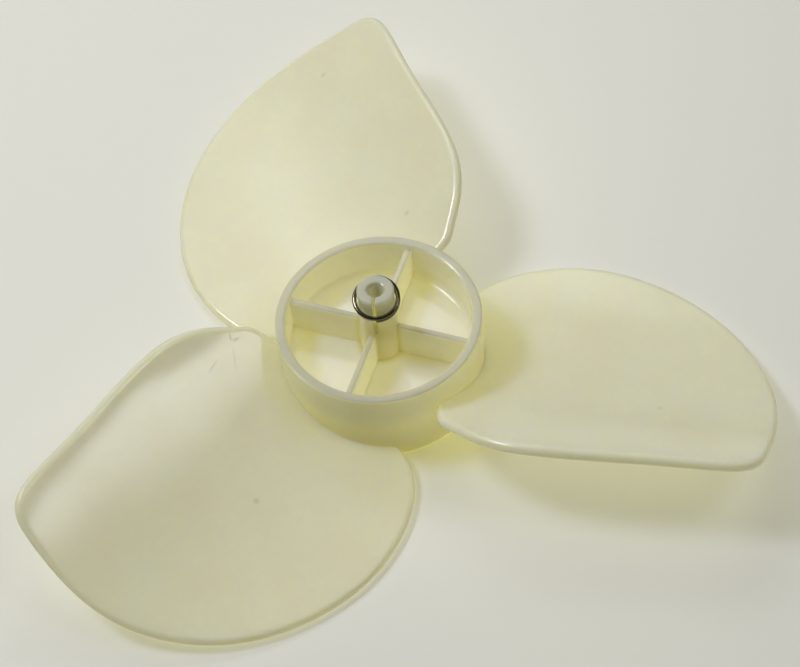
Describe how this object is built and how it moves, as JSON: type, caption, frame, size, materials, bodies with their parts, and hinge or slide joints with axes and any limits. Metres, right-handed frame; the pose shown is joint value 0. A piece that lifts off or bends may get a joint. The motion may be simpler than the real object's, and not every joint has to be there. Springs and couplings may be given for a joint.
{
  "type": "fan blade",
  "caption": "Axial fan blade moulded whole with its ribbed hub cup and split shaft boss, which a coiled wire clip squeezes onto a motor shaft.",
  "frame": {"origin": "centre of the flat underside of the hub, on the shaft axis", "axes": "+Z along the shaft axis, from the closed base of the hub to its open rim and the split boss; +X along the middle of one blade"},
  "size_m": [0.1512, 0.1582, 0.0294],
  "materials": {
    "plastic": "cream polypropylene, slightly translucent, moulded gloss with faint scuffs",
    "wire": "dark drawn spring wire"
  },
  "bodies": {
    "root": {"impeller": "plastic", "shaft_clip": "wire"}
  },
  "joints": []
}
